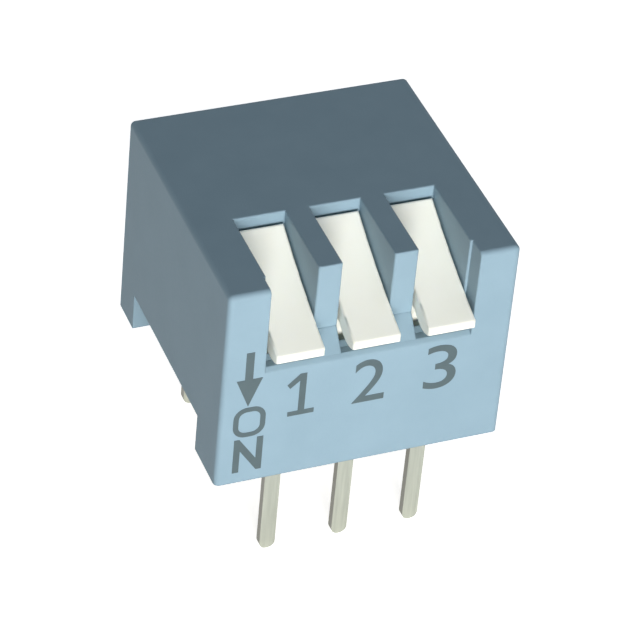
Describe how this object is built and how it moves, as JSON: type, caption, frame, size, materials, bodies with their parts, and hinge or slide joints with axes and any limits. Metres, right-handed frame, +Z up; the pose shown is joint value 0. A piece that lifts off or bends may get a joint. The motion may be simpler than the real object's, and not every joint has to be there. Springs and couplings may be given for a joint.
{
  "type": "dip switch",
  "caption": "Side-actuated DIP switch: moulded blue-grey housing with white rocker levers in slots at the top-front edge and two rows of flat solder pins below.",
  "frame": {"origin": "centre of the six-pin pattern, on the board's surface that the feet stand on", "axes": "+X along the row of levers, -Y is the side that the levers face, +Z up away from the board"},
  "size_m": [0.0098, 0.0103, 0.0116],
  "materials": {
    "housing_plastic": "satin moulded thermoplastic",
    "base_plastic": "moulded thermoplastic",
    "rocker_plastic": "satin moulded thermoplastic",
    "epoxy": "cast epoxy",
    "tinned_metal": "matt tin plate",
    "spring_steel": "drawn wire",
    "contact_gold": "gold plated"
  },
  "bodies": {
    "housing": {"cover": "housing_plastic", "base": "base_plastic", "seal": "epoxy", "terminal_front_1": "tinned_metal", "terminal_front_2": "tinned_metal", "terminal_front_3": "tinned_metal", "terminal_rear_1": "tinned_metal", "terminal_rear_2": "tinned_metal", "terminal_rear_3": "tinned_metal"},
    "lever_1": {"rocker_1": "rocker_plastic", "spring_1": "spring_steel", "ball_1": "contact_gold"},
    "lever_2": {"rocker_2": "rocker_plastic", "spring_2": "spring_steel", "ball_2": "contact_gold"},
    "lever_3": {"rocker_3": "rocker_plastic", "spring_3": "spring_steel", "ball_3": "contact_gold"}
  },
  "joints": [
    {"name": "lever_1_swing", "type": "hinge", "parent": "housing", "child": "lever_1", "pos_m": [-0.00254, -0.00287, 0.0052], "axis": [1, 0, 0], "range_deg": [0, 13]},
    {"name": "lever_2_swing", "type": "hinge", "parent": "housing", "child": "lever_2", "pos_m": [0, -0.00287, 0.0052], "axis": [1, 0, 0], "range_deg": [0, 13]},
    {"name": "lever_3_swing", "type": "hinge", "parent": "housing", "child": "lever_3", "pos_m": [0.00254, -0.00287, 0.0052], "axis": [1, 0, 0], "range_deg": [0, 13]}
  ]
}
